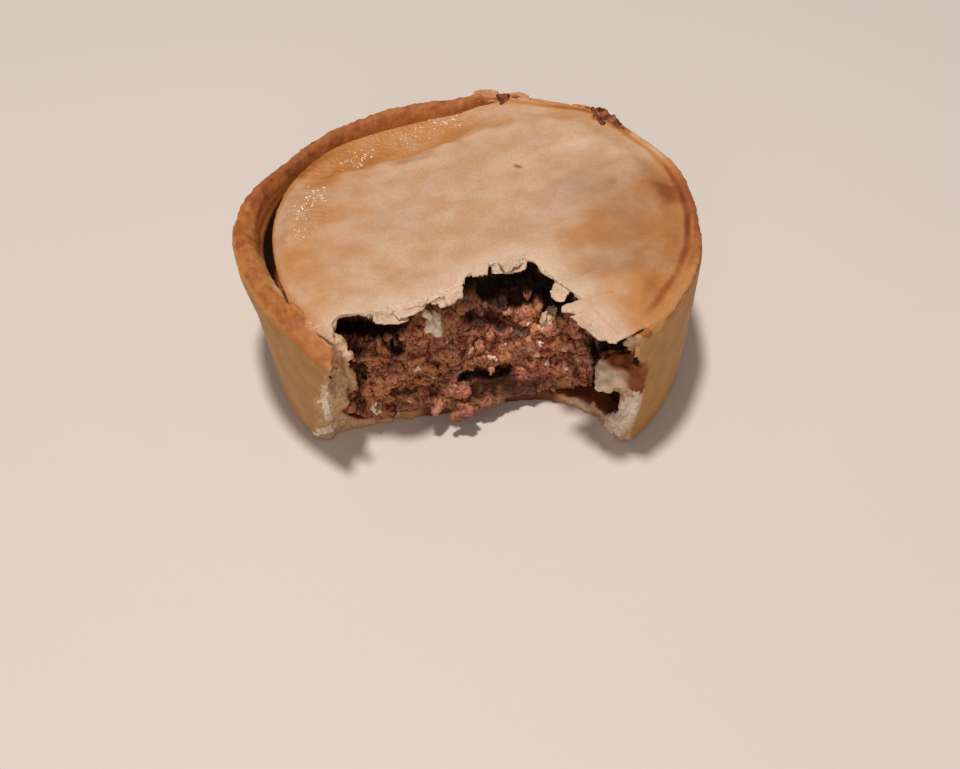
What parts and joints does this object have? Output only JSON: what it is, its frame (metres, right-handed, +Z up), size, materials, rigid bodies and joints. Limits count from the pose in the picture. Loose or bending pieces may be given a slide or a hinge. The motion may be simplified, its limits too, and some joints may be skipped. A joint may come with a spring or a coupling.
{
  "type": "scotch pie",
  "caption": "Round raised pie of pale baked pastry with a sunken lid and a tall rim, bitten open at the front so that its coarse minced meat filling shows.",
  "frame": {"origin": "centre of the round base, on the flat face that it rests on", "axes": "+Z up through the lid, -Y towards the bite, +X to the right of someone who faces the bite"},
  "size_m": [0.0964, 0.0875, 0.0366],
  "materials": {
    "case_pastry": "baked hot-water crust, matte tan wall with a toasted rim and pale crumbly breaks",
    "lid_pastry": "thin baked crust, pale and satin, greasy and orange along the back",
    "mince": "coarse cooked mince, moist pinkish brown with pale flecks of fat"
  },
  "bodies": {
    "root": {"pastry_case": "case_pastry", "pastry_lid": "lid_pastry", "meat_filling": "mince"}
  },
  "joints": []
}
